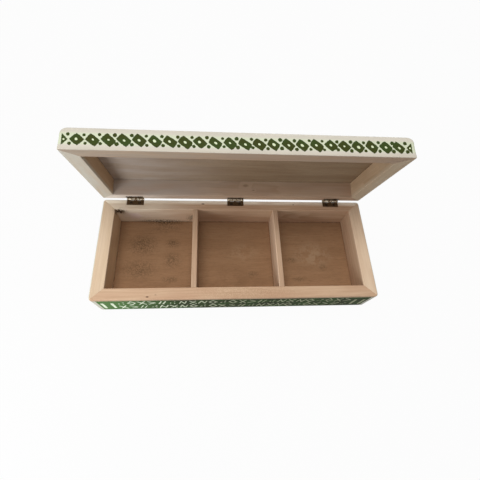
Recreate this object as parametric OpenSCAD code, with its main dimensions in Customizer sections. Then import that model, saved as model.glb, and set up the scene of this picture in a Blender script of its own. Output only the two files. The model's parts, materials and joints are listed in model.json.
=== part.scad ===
// Hinged wooden tea bag box: mitred body with three compartments, shallow mitred lid with a
// let-in panel, and three small rolled-knuckle hinges let into the back edges.
// Millimetres. Origin: centre of the footprint on the table. +X right, +Y towards the hinges,
// +Z up. The lid is drawn at its rest angle, standing open.

/* [Body] */
// Overall width, left to right
box_w = 270; // [230:1:340]
// Overall depth, front to back, without the hinge barrels
box_d = 105; // [90:1:140]
// Height of the body, from the table to its rim
body_h = 36; // [30:0.5:60]
// Thickness of the left and right boards
side_t = 12.5; // [10:0.5:16]
// Thickness of the front and back boards
front_t = 11; // [10:0.5:16]
// Radius of the upright outer corners, on the body and on the lid
corner_r = 3; // [2.5:0.1:4]
// Rounding of the body rim's outer edge
rim_r = 2.2; // [1:0.1:2.4]
// Rounding of the body's lower outer edge
foot_r = 1.5; // [0.5:0.1:2]

/* [Base panel] */
// Thickness of the base panel
base_t = 4; // [3:0.5:6]
// Height of the base panel's underside above the table
base_lift = 5.5; // [3:0.5:8]
// Depth of the groove that holds the base panel
groove_d = 4; // [2:0.5:6]

/* [Dividers] */
// Thickness of the two dividers
divider_t = 5; // [3:0.5:8]

/* [Lid] */
// Height of the lid
lid_h = 20; // [17:0.5:35]
// Rounding of the lid's upper outer edge
lid_edge_r = 7; // [3:0.5:8]
// Rounding of the lid rim's outer edge
lid_rim_r = 0.7; // [0.3:0.1:1.5]
// Thickness of the lid panel
lid_panel_t = 4; // [3:0.5:6]
// Width of the rabbet that carries the lid panel
lid_ledge = 3; // [2:0.5:3]
// Angle between the closed lid and the lid as it stands at rest
lid_open = 77; // [0:1:180]
// Gap between the rims of the closed box
rim_gap = 0.5; // [0.3:0.1:1.2]

/* [Hinges] */
// Length of each hinge
hinge_len = 17; // [14:0.5:24]
// Width of a leaf, from the pin's axis to its free edge
leaf_w = 6.9; // [6.5:0.1:8]
// Thickness of the leaves' sheet
leaf_t = 0.8; // [0.6:0.1:1]
// Radius of the hinge pins
pin_r = 0.7; // [0.6:0.05:0.9]
// Distance from the box's end to the middle of each outer hinge
hinge_inset = 32; // [28:1:55]
// Distance of the pins' axis behind the back board
axis_out = 0.9; // [0.9:0.1:2]
// Number of knuckles on each hinge
knuckles = 5; // [3:2:7]

/* [Hinge screws] */
// Radius of the screws' shank
screw_r = 0.8; // [0.6:0.05:1]
// Length of the screws, head included
screw_l = 7; // [5:0.5:9]
// Radius of the screws' countersunk head
screw_head_r = 1.6; // [1.3:0.05:1.8]

/* [Hidden] */
$fn = 64;

// Clearances
panel_fit = 0.2;     // panels in their groove and rabbet
gain_fit = 0.2;      // leaves in the recess cut for them
knuckle_fit = 0.15;  // between neighbouring knuckles
notch_fit = 0.3;     // round the other leaf's barrel
pin_press = 0.01;    // pin in the body leaf's knuckles
pin_run = 0.05;      // pin in the lid leaf's knuckles
screw_fit = 0.05;    // screws in leaf and wood
far = 50;            // reach of cutting shapes past what they cut

// Body
base_top = base_lift + base_t;
inner_w = box_w - 2 * side_t;
inner_d = box_d - 2 * front_t;
cell_w = (inner_w - 2 * divider_t) / 3;
divider_x = (cell_w + divider_t) / 2;

// Hinges: the outer ones' places, the pins' axis, and what is measured from it
hinge_spread = box_w / 2 - hinge_inset;
axis_y = box_d / 2 + axis_out;
axis_z = body_h + rim_gap / 2;
knuckle_r = pin_r + leaf_t;
knuckle_pitch = hinge_len / knuckles;
roll_end = 200;      // where the rolled sheet ends, in degrees round the pin
leaf_corner_r = 0.8;
pin_over = 0.3;      // domed end of the pin, past the barrel
screw_x = hinge_len / 4;
screw_y = (leaf_w + knuckle_r + notch_fit) / 2;
slot_w = 0.5;        // screwdriver slot
slot_d = 0.35;

BARE_WOOD = [0.80, 0.66, 0.52];
PLY = [0.66, 0.52, 0.40];
PAINTED = [0.87, 0.86, 0.77];
BRONZE = [0.24, 0.19, 0.13];
BRASS = [0.62, 0.50, 0.30];

// ---------------------------------------------------------------- shared shapes

// Plan of the board on the front side of a mitred frame. The mitres run from the outer
// corners of the frame to its inner corners.
module front_board_plan(w, d, end_t, t) {
    polygon([[-w / 2, -d / 2], [w / 2, -d / 2],
             [w / 2 - end_t, -d / 2 + t], [-w / 2 + end_t, -d / 2 + t]]);
}

// Plan of a rectangle with round corners.
module round_plan(w, d, r) {
    square([w - 2 * r, d], center = true);
    square([w, d - 2 * r], center = true);
    for (x = [-1, 1], y = [-1, 1])
        translate([x * (w / 2 - r), y * (d / 2 - r)])
            circle(r);
}

// Half profile of the body, from its middle out to the face at x = half: the lower outer
// corner has radius low_r and the upper one has radius high_r.
module edge_profile(half, h, low_r, high_r) {
    translate([0, low_r])
        square([half, h - low_r - high_r]);
    square([half - low_r, h]);
    translate([half - low_r, low_r])
        circle(low_r);
    translate([0, h / 2])
        square([half - high_r, h / 2]);
    translate([half - high_r, h - high_r])
        circle(high_r);
}

// Upright corner post of the body: the edge profile turned about the corner's centre.
module corner_post(h, r, low_r, high_r) {
    rotate_extrude()
        intersection() {
            edge_profile(r, h, low_r, high_r);
            square([r, h]);
        }
}

// The body's outer form as one block, with every outer edge rounded.
module body_block() {
    span_w = box_w - 2 * corner_r;
    span_d = box_d - 2 * corner_r;
    for (s = [0, 180])
        rotate([0, 0, s]) {
            translate([0, -span_d / 2, 0])
                rotate([90, 0, 180])
                    linear_extrude(span_d)
                        intersection() {
                            edge_profile(box_w / 2, body_h, foot_r, rim_r);
                            square([box_w / 2, body_h]);
                        }
            translate([-span_w / 2, 0, 0])
                rotate([90, 0, 90])
                    linear_extrude(span_w)
                        intersection() {
                            edge_profile(box_d / 2, body_h, foot_r, rim_r);
                            square([box_d / 2, body_h]);
                        }
        }
    for (x = [-1, 1], y = [-1, 1])
        translate([x * span_w / 2, y * span_d / 2, 0])
            corner_post(body_h, corner_r, foot_r, rim_r);
}

// Groove for the base panel, as a block that reaches groove_d into every board.
module base_groove() {
    translate([0, 0, base_lift + (base_t + panel_fit) / 2])
        cube([inner_w + 2 * groove_d, inner_d + 2 * groove_d, base_t + panel_fit], center = true);
}

// Puts its children, drawn on the closed box, where the lid stands at rest.
module on_lid() {
    translate([0, axis_y, axis_z])
        rotate([-lid_open, 0, 0])
            translate([0, -axis_y, -axis_z])
                children();
}

// ---------------------------------------------------------------- body

module body_board(along_x, side) {
    w = along_x ? box_w : box_d;
    d = along_x ? box_d : box_w;
    end_t = along_x ? side_t : front_t;
    t = along_x ? front_t : side_t;
    turn = along_x ? (side < 0 ? 0 : 180) : (side < 0 ? -90 : 90);
    difference() {
        intersection() {
            body_block();
            rotate([0, 0, turn])
                linear_extrude(body_h)
                    front_board_plan(w, d, end_t, t);
        }
        base_groove();
    }
}

module front_wall() {
    color(PAINTED)
        body_board(true, -1);
}

module back_wall() {
    color(PAINTED)
        difference() {
            body_board(true, 1);
            for (x = [-hinge_spread, 0, hinge_spread])
                translate([x, axis_y, axis_z]) {
                    gain();
                    pilot_holes();
                }
        }
}

module left_wall() {
    color(PAINTED)
        body_board(false, -1);
}

module right_wall() {
    color(PAINTED)
        body_board(false, 1);
}

module base_panel() {
    color(PLY)
        translate([0, 0, base_lift + base_t / 2])
            cube([inner_w + 2 * (groove_d - panel_fit), inner_d + 2 * (groove_d - panel_fit), base_t],
                 center = true);
}

module divider(side) {
    color(BARE_WOOD)
        translate([side * divider_x - divider_t / 2, -inner_d / 2, base_top])
            cube([divider_t, inner_d, body_h - base_top]);
}

// ---------------------------------------------------------------- lid

// Cross-section of a lid rail of thickness t, from its outer face at x = 0 inwards: round
// upper outer edge, eased rim edge, and a rabbet for the panel on top.
module rail_profile(t) {
    difference() {
        union() {
            translate([lid_edge_r, lid_rim_r])
                square([t - lid_edge_r, lid_h - lid_rim_r]);
            translate([0, lid_rim_r])
                square([t, lid_h - lid_rim_r - lid_edge_r]);
            translate([lid_rim_r, 0])
                square([t - lid_rim_r, lid_h / 2]);
            translate([lid_rim_r, lid_rim_r])
                circle(lid_rim_r);
            translate([lid_edge_r, lid_h - lid_edge_r])
                intersection() {
                    circle(lid_edge_r);
                    translate([-lid_edge_r, 0])
                        square(lid_edge_r);
                }
        }
        translate([t - lid_ledge, lid_h - lid_panel_t])
            square([lid_ledge + far, lid_panel_t + far]);
    }
}

// One mitred rail of the lid, on the closed box.
module lid_rail(along_x, side) {
    w = along_x ? box_w : box_d;
    d = along_x ? box_d : box_w;
    end_t = along_x ? side_t : front_t;
    t = along_x ? front_t : side_t;
    turn = along_x ? (side < 0 ? 0 : 180) : (side < 0 ? -90 : 90);
    translate([0, 0, body_h + rim_gap])
        intersection() {
            rotate([0, 0, turn])
                translate([-w / 2, -d / 2, 0])
                    rotate([90, 0, 90])
                        linear_extrude(w)
                            rail_profile(t);
            rotate([0, 0, turn])
                linear_extrude(lid_h)
                    front_board_plan(w, d, end_t, t);
            linear_extrude(lid_h)
                round_plan(box_w, box_d, corner_r);
        }
}

module lid_front_rail() {
    color(PAINTED)
        on_lid()
            lid_rail(true, -1);
}

module lid_back_rail() {
    color(PAINTED)
        on_lid()
            difference() {
                lid_rail(true, 1);
                for (x = [-hinge_spread, 0, hinge_spread])
                    translate([x, axis_y, axis_z])
                        mirror([0, 0, 1]) {
                            gain();
                            pilot_holes();
                        }
            }
}

module lid_left_rail() {
    color(PAINTED)
        on_lid()
            lid_rail(false, -1);
}

module lid_right_rail() {
    color(PAINTED)
        on_lid()
            lid_rail(false, 1);
}

module lid_panel() {
    color(PAINTED)
        on_lid()
            translate([0, 0, body_h + rim_gap + lid_h - lid_panel_t / 2])
                cube([inner_w + 2 * (lid_ledge - panel_fit), inner_d + 2 * (lid_ledge - panel_fit),
                      lid_panel_t],
                     center = true);
}

// ---------------------------------------------------------------- hinges
// Each hinge is drawn about its pin: the axis is X, the boards lie on the -Y side, and the
// body leaf is below. The lid leaf is its mirror image, with the other knuckles.

// Recess for a leaf and its barrel, open to the back and to the rim.
module gain() {
    translate([-hinge_len / 2 - gain_fit, -leaf_w - gain_fit, -knuckle_r])
        cube([hinge_len + 2 * gain_fit, leaf_w + gain_fit + far, knuckle_r + far]);
}

module pilot_holes() {
    for (x = [-screw_x, screw_x])
        translate([x, -screw_y, -knuckle_r + leaf_t - screw_l - screw_fit])
            cylinder(r = screw_r + screw_fit, h = screw_l);
}

// Cross-section of a leaf, with its sheet rolled round the pin.
module leaf_section(bore_r) {
    difference() {
        union() {
            translate([-leaf_w, -knuckle_r])
                square([leaf_w, leaf_t]);
            difference() {
                circle(knuckle_r);
                polygon([[0, 0], 3 * knuckle_r * [cos(roll_end), sin(roll_end)],
                         [-3 * knuckle_r, -3 * knuckle_r], [0, -3 * knuckle_r]]);
            }
        }
        circle(bore_r);
    }
}

// Outline of a leaf seen from above, with its free corners rounded.
module leaf_plan() {
    half = hinge_len / 2;
    translate([-half, -leaf_w + leaf_corner_r])
        square([hinge_len, leaf_w - leaf_corner_r + 2 * knuckle_r]);
    translate([-half + leaf_corner_r, -leaf_w])
        square([hinge_len - 2 * leaf_corner_r, leaf_w]);
    for (s = [-1, 1])
        translate([s * (half - leaf_corner_r), -leaf_w + leaf_corner_r])
            circle(leaf_corner_r);
}

// A leaf that keeps every second knuckle: the first one too where starts is 0.
module leaf(starts, bore_r) {
    difference() {
        intersection() {
            translate([-hinge_len / 2, 0, 0])
                rotate([90, 0, 90])
                    linear_extrude(hinge_len)
                        leaf_section(bore_r);
            translate([0, 0, -far / 2])
                linear_extrude(far)
                    leaf_plan();
        }
        for (k = [1 - starts : 2 : knuckles - 1])
            translate([-hinge_len / 2 + k * knuckle_pitch, 0, 0])
                notch(k == 0, k == knuckles - 1);
        for (x = [-screw_x, screw_x])
            translate([x, -screw_y, -knuckle_r])
                screw_body(screw_fit);
    }
}

// Cut that frees the other leaf's knuckle. It runs past the hinge's end at an end knuckle.
module notch(first, last) {
    low = first ? far : knuckle_fit / 2;
    high = last ? far : knuckle_fit / 2;
    translate([-low, -knuckle_r - notch_fit, -far / 2])
        cube([low + knuckle_pitch + high, far, far]);
}

// Countersunk head on a shank, with its head's top face at z = leaf_t. grow enlarges it all
// round, for the hole that takes it.
module screw_body(grow = 0) {
    translate([0, 0, leaf_t - (screw_head_r - screw_r)])
        cylinder(r1 = screw_r + grow, r2 = screw_head_r + grow, h = screw_head_r - screw_r);
    translate([0, 0, leaf_t - far / 2])
        cylinder(r = screw_r + grow, h = far / 2);
}

// A countersunk woodscrew with a pointed end and a slot.
module hinge_screw() {
    head_h = screw_head_r - screw_r;
    tip_h = 2 * screw_r;
    difference() {
        rotate_extrude()
            polygon([[0, leaf_t - screw_l], [screw_r, leaf_t - screw_l + tip_h],
                     [screw_r, leaf_t - head_h], [screw_head_r, leaf_t], [0, leaf_t]]);
        translate([-far / 2, -slot_w / 2, leaf_t - slot_d])
            cube([far, slot_w, far]);
    }
}

module hinge_screws() {
    for (x = [-screw_x, screw_x])
        translate([x, -screw_y, -knuckle_r])
            hinge_screw();
}

// Pin with domed ends that stand a little out of the barrel.
module hinge_pin() {
    flat_r = pin_r - pin_over;
    rotate([0, 90, 0])
        rotate_extrude()
            polygon([[0, -hinge_len / 2 - pin_over], [flat_r, -hinge_len / 2 - pin_over],
                     [pin_r, -hinge_len / 2], [pin_r, hinge_len / 2],
                     [flat_r, hinge_len / 2 + pin_over], [0, hinge_len / 2 + pin_over]]);
}

module at_hinge(x) {
    translate([x, axis_y, axis_z])
        children();
}

module body_leaf(x) {
    color(BRONZE)
        at_hinge(x)
            leaf(0, pin_r + pin_press);
}

module lid_leaf(x) {
    color(BRONZE)
        on_lid()
            at_hinge(x)
                mirror([0, 0, 1])
                    leaf(1, pin_r + pin_run);
}

module pin_at(x) {
    color(BRASS)
        at_hinge(x)
            hinge_pin();
}

module body_screws(x) {
    color(BRASS)
        at_hinge(x)
            hinge_screws();
}

module lid_screws(x) {
    color(BRASS)
        on_lid()
            at_hinge(x)
                mirror([0, 0, 1])
                    hinge_screws();
}

// ---------------------------------------------------------------- nodes

front_wall();
back_wall();
left_wall();
right_wall();
base_panel();
divider(-1);  // divider_left
divider(1);  // divider_right
lid_front_rail();
lid_back_rail();
lid_left_rail();
lid_right_rail();
lid_panel();
body_leaf(-hinge_spread);  // left_hinge_body_leaf
lid_leaf(-hinge_spread);  // left_hinge_lid_leaf
pin_at(-hinge_spread);  // left_hinge_pin
body_screws(-hinge_spread);  // left_hinge_body_screws
lid_screws(-hinge_spread);  // left_hinge_lid_screws
body_leaf(0);  // middle_hinge_body_leaf
lid_leaf(0);  // middle_hinge_lid_leaf
pin_at(0);  // middle_hinge_pin
body_screws(0);  // middle_hinge_body_screws
lid_screws(0);  // middle_hinge_lid_screws
body_leaf(hinge_spread);  // right_hinge_body_leaf
lid_leaf(hinge_spread);  // right_hinge_lid_leaf
pin_at(hinge_spread);  // right_hinge_pin
body_screws(hinge_spread);  // right_hinge_body_screws
lid_screws(hinge_spread);  // right_hinge_lid_screws
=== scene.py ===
"""Painted wooden tea bag box, standing open: eased boards, brushed paint and aged hinges
put round the CAD frame.

The frame is in metres, X to the right, Y towards the hinges and Z up. Boards are worked out
on the closed box; those of the lid are then swung to where the lid stands. Finishes measure
in millimetres: every board carries its own coordinates (along, depth, height) for them.
"""

import json
import logging
import math
from dataclasses import dataclass, replace
from enum import Enum
from typing import Callable, Sequence

import bmesh
import bpy
import numpy as np
from mathutils import Matrix, Vector


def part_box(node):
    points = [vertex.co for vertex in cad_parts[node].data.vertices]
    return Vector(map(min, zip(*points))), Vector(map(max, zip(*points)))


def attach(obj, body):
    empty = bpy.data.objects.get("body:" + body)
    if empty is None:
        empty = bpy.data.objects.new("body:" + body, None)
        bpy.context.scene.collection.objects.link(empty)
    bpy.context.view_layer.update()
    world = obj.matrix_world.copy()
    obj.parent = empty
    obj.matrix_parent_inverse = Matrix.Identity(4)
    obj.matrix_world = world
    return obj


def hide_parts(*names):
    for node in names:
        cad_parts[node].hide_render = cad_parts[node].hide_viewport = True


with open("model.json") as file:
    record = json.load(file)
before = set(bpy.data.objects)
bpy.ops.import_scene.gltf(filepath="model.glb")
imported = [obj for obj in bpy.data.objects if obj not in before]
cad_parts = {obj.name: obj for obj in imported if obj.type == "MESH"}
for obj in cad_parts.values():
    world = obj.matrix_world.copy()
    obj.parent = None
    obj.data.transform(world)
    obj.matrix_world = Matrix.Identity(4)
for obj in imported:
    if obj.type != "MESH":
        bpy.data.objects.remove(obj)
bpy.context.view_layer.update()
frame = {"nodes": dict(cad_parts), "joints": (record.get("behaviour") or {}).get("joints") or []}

LOG = logging.getLogger("tea_box")

MM = 0.001
FAR_MM = 50.0            # a distance that reads as "nowhere near"
TINY = 1e-7              # metres; nearer than this is the same place
COARSE = 4.0 * MM        # longest stretch between points where nothing needs more
PLAIN = 1.0 * MM         # the same where a curve or a joint is near
FINE = 0.5 * MM          # the same on a face with painted figures
ARC_STEP = 0.45 * MM     # the same on a rounded edge
NUDGE = 0.02 * MM        # step in which a board drops into a recess
PLAY = 0.2 * MM          # room round a leaf in its recess and over the base panel
SHARP_ANGLE = math.radians(38)
FLAT_ANGLE = math.radians(1)
SENSOR_MM = 36.0
WHITE = (1.0, 1.0, 1.0, 1.0)
HINGE_PLACES = ("left", "middle", "right")

Array = np.ndarray
Colour = tuple[float, float, float, float]
Socket = bpy.types.NodeSocket


def tint(*screen: int) -> Colour:
    """Linear colour of red, green and blue from 0 to 255: ((c + 0.055) / 1.055) ** 2.4."""
    linear = [((c / 255 + 0.055) / 1.055) ** 2.4 if c > 10 else c / 255 / 12.92 for c in screen]
    return (*linear, 1.0)


# ------------------------------------------------------------------------- frame


@dataclass(frozen=True)
class Swing:
    """The lid's hinge line and the angle between the closed lid and the lid as drawn."""

    y: float
    z: float
    angle: float

    @classmethod
    def of_joint(cls, joint: dict) -> "Swing":
        """Reads the hinge line and the drawn angle from the record's joint."""
        return cls(joint["pos_m"][1], joint["pos_m"][2], -math.radians(joint["range_deg"][0]))

    def opened(self, points: Array, way: int = 1) -> Array:
        """Carries points of the closed box to where the lid stands.

        y' = y0 + dy cos a + dz sin a, z' = z0 - dy sin a + dz cos a.

        Args:
            points: Array (..., 3).
            way: 1, or -1 for the way back.

        Returns:
            The turned points.
        """
        dy, dz = points[..., 1] - self.y, points[..., 2] - self.z
        cos, sin = math.cos(self.angle), math.sin(self.angle) * way
        y, z = self.y + dy * cos + dz * sin, self.z - dy * sin + dz * cos
        return np.stack([points[..., 0], y, z], -1)


SWING = Swing.of_joint(frame["joints"][0])


def corners(node: str, swung: bool = False) -> tuple[Array, Array]:
    """Lowest and highest corner of a CAD node, on the closed box.

    Args:
        node: The node.
        swung: Whether the lid carries it.

    Returns:
        The two corners.
    """
    if not swung:
        return tuple(np.array(corner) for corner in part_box(node))
    vertices = frame["nodes"][node].data.vertices
    flat = np.zeros(len(vertices) * 3, np.float32)
    vertices.foreach_get("co", flat)
    points = SWING.opened(flat.reshape(-1, 3).astype(float), -1)
    return points.min(0), points.max(0)


# ------------------------------------------------------------------------- outlines


@dataclass(frozen=True)
class Corner:
    """A square corner of a board's outline, and the stretch that follows it."""

    depth: float
    height: float
    radius: float = 0.0
    step: float = COARSE


def eased_outline(square: Sequence[Corner]) -> Array:
    """Outline whose square corners are rounded.

    At a corner P with unit directions a to the corner before and b to the one after, the arc
    of radius r is P + r (a + b) - r (b cos t + a sin t), t from 0 to 90 degrees.

    Args:
        square: The corners, clockwise with depth to the right and height up.

    Returns:
        Array (n, 2) of depth and height.
    """
    places = np.array([(c.depth, c.height) for c in square])
    before, after = np.roll(places, 1, 0) - places, np.roll(places, -1, 0) - places
    a = before / np.linalg.norm(before, axis=1, keepdims=True)
    b = after / np.linalg.norm(after, axis=1, keepdims=True)
    pieces = []
    for k, corner in enumerate(square):
        start = places[k] + b[k] * corner.radius
        stop = places[k] + after[k] - b[k] * square[(k + 1) % len(square)].radius
        if corner.radius > 0:
            turns = max(5, math.ceil(corner.radius * math.pi / 2 / ARC_STEP))
            t = np.linspace(0, math.pi / 2, turns + 1)[:, None]
            centre = places[k] + corner.radius * (a[k] + b[k])
            pieces.append(centre - corner.radius * (b[k] * np.cos(t) + a[k] * np.sin(t)))
        else:
            pieces.append(places[k][None])
        parts = max(1, math.ceil(np.linalg.norm(stop - start) / corner.step))
        pieces.append(start + (stop - start) * np.linspace(0, 1, parts + 1)[1:-1, None])
    return np.concatenate(pieces)


def outline_normals(outline: Array) -> Array:
    """Outward unit normals of a clockwise outline, (-t_height, t_depth) / |t|."""
    along = np.roll(outline, -1, 0) - np.roll(outline, 1, 0)
    return np.stack([-along[:, 1], along[:, 0]], -1) / np.linalg.norm(along, axis=1, keepdims=True)


def rounded_corner(run_in: Array, depth: Array, radius: Array) -> tuple[Array, Array]:
    """Bends a frame's square corner round, the way its boards are sanded together.

    With both distances below r, the inset m = min(run_in, depth) becomes the arc of radius
    r - m about the corner's centre, and the place along the square offset line becomes the
    angle on it: phi = 45 deg (r - other) / (r - m).

    Args:
        run_in: Distance from the end face of the frame.
        depth: Distance from the board's own outer face.
        radius: Radius r for each point.

    Returns:
        The new run_in and depth.
    """
    arc, other = radius - np.minimum(run_in, depth), np.maximum(run_in, depth)
    inside = (other < radius) & (arc > 1e-9)
    phi = math.pi / 4 * (radius - other) / np.where(inside, arc, 1.0)
    near, side = radius - arc * np.cos(phi), radius - arc * np.sin(phi)
    own_face = depth <= run_in
    return (np.where(inside, np.where(own_face, side, near), run_in),
            np.where(inside, np.where(own_face, near, side), depth))


# ------------------------------------------------------------------------- meshes


def linked(name: str, data: bpy.types.ID) -> bpy.types.Object:
    """Puts a mesh, lamp or camera into the scene, at the origin.

    Args:
        name: Name of the object.
        data: What it shows.

    Returns:
        The object.
    """
    made = bpy.data.objects.new(name, data)
    bpy.context.scene.collection.objects.link(made)
    return made


def smoothed(name: str, mesh: bpy.types.Mesh) -> bpy.types.Object:
    """Puts a mesh into the scene, smooth but for its sharp edges.

    Args:
        name: Name of the object.
        mesh: The mesh.

    Returns:
        The object.
    """
    mesh.shade_smooth()
    mesh.set_sharp_from_angle(angle=SHARP_ANGLE)
    return linked(name, mesh)


def weld(mesh: bpy.types.Mesh, reach: float, level: bool = False) -> None:
    """Joins the points of a mesh that lie together.

    Args:
        mesh: The mesh.
        reach: How near they lie.
        level: Whether faces of one plane become one; otherwise only empty ones go.
    """
    work = bmesh.new()
    work.from_mesh(mesh)
    bmesh.ops.remove_doubles(work, verts=work.verts, dist=reach)
    if level:
        bmesh.ops.dissolve_limit(
            work, angle_limit=FLAT_ANGLE, verts=work.verts, edges=work.edges)
    else:
        bmesh.ops.dissolve_degenerate(work, edges=work.edges, dist=reach)
    work.to_mesh(mesh)
    work.free()


def tube_mesh(name: str, grid: Array, attributes: dict[str, Array] | None = None) -> bpy.types.Object:
    """Object of a surface that is closed across and capped at both ends.

    Vertex (i, j) is point j of cross-section i. A quad joins (i, j), (i, j + 1),
    (i + 1, j + 1) and (i + 1, j), and the end sections become faces. The signed volume,
    one sixth of the sum of a . (b x c) over the triangles, says whether the faces look
    outwards; they are turned round where it is negative.

    Args:
        name: Name of the object.
        grid: Array (sections, points, 3).
        attributes: Values per vertex, arrays (sections, points) or (sections, points, 3).

    Returns:
        The object.
    """
    rows, cols = grid.shape[:2]
    index = np.arange(rows * cols).reshape(rows, cols)
    right = np.roll(index, -1, axis=1)
    quads = np.stack([index[:-1], right[:-1], right[1:], index[1:]], -1).reshape(-1, 4)
    ends = [index[0][::-1], index[-1]]
    points = grid.reshape(-1, 3)
    p0, p1, p2, p3 = (points[quads[:, k]] for k in range(4))
    if (p0 * np.cross(p1, p2)).sum() + (p0 * np.cross(p2, p3)).sum() < 0:
        quads, ends = quads[:, ::-1], [end[::-1] for end in ends]
    loops = np.concatenate([quads.ravel(), *ends]).astype(np.int32)
    starts = np.append(np.arange(len(quads)) * 4, len(quads) * 4 + np.array([0, cols]))
    mesh = bpy.data.meshes.new(name)
    mesh.vertices.add(len(points))
    mesh.vertices.foreach_set("co", points.astype(np.float32).ravel())
    mesh.loops.add(len(loops))
    mesh.loops.foreach_set("vertex_index", loops)
    mesh.polygons.add(len(starts))
    mesh.polygons.foreach_set("loop_start", starts.astype(np.int32))
    mesh.update(calc_edges=True)
    for key, values in (attributes or {}).items():
        kind, slot = ("FLOAT_VECTOR", "vector") if values.ndim == 3 else ("FLOAT", "value")
        layer = mesh.attributes.new(key, kind, "POINT")
        layer.data.foreach_set(slot, values.astype(np.float32).ravel())
    return smoothed(name, mesh)


def softened_copy(node: str, name: str, width: float) -> bpy.types.Object:
    """Copy of a CAD node with its loose triangles joined and its edges eased.

    Args:
        node: The CAD node.
        name: Name of the new object.
        width: Width of the easing.

    Returns:
        The copy, which still needs its body and material.
    """
    mesh = frame["nodes"][node].data.copy()
    mesh.name = name
    weld(mesh, 10 * TINY, level=True)
    made = smoothed(name, mesh)
    easing = made.modifiers.new("eased edges", "BEVEL")
    easing.width, easing.segments, easing.limit_method = width, 2, "ANGLE"
    easing.angle_limit, easing.use_clamp_overlap = SHARP_ANGLE, True
    return made


def dress(made: bpy.types.Object, material: bpy.types.Material) -> None:
    """Gives an object one material, and reports it.

    Args:
        made: A new piece or a CAD node.
        material: Its material.
    """
    made.data.materials.clear()
    made.data.materials.append(material)
    LOG.info("%s: %s, %d faces", made.name, material.name, len(made.data.polygons))


def settle(made: bpy.types.Object, material: bpy.types.Material, body: str,
           node: str | None = None) -> None:
    """Dresses a new piece and gives it its place among the bodies.

    Args:
        made: The piece.
        material: Its material.
        body: The body that it rides on.
        node: The CAD node that it stands for.
    """
    dress(made, material)
    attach(made, body)
    if node:
        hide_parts(node)


# ------------------------------------------------------------------------- node bench


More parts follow.
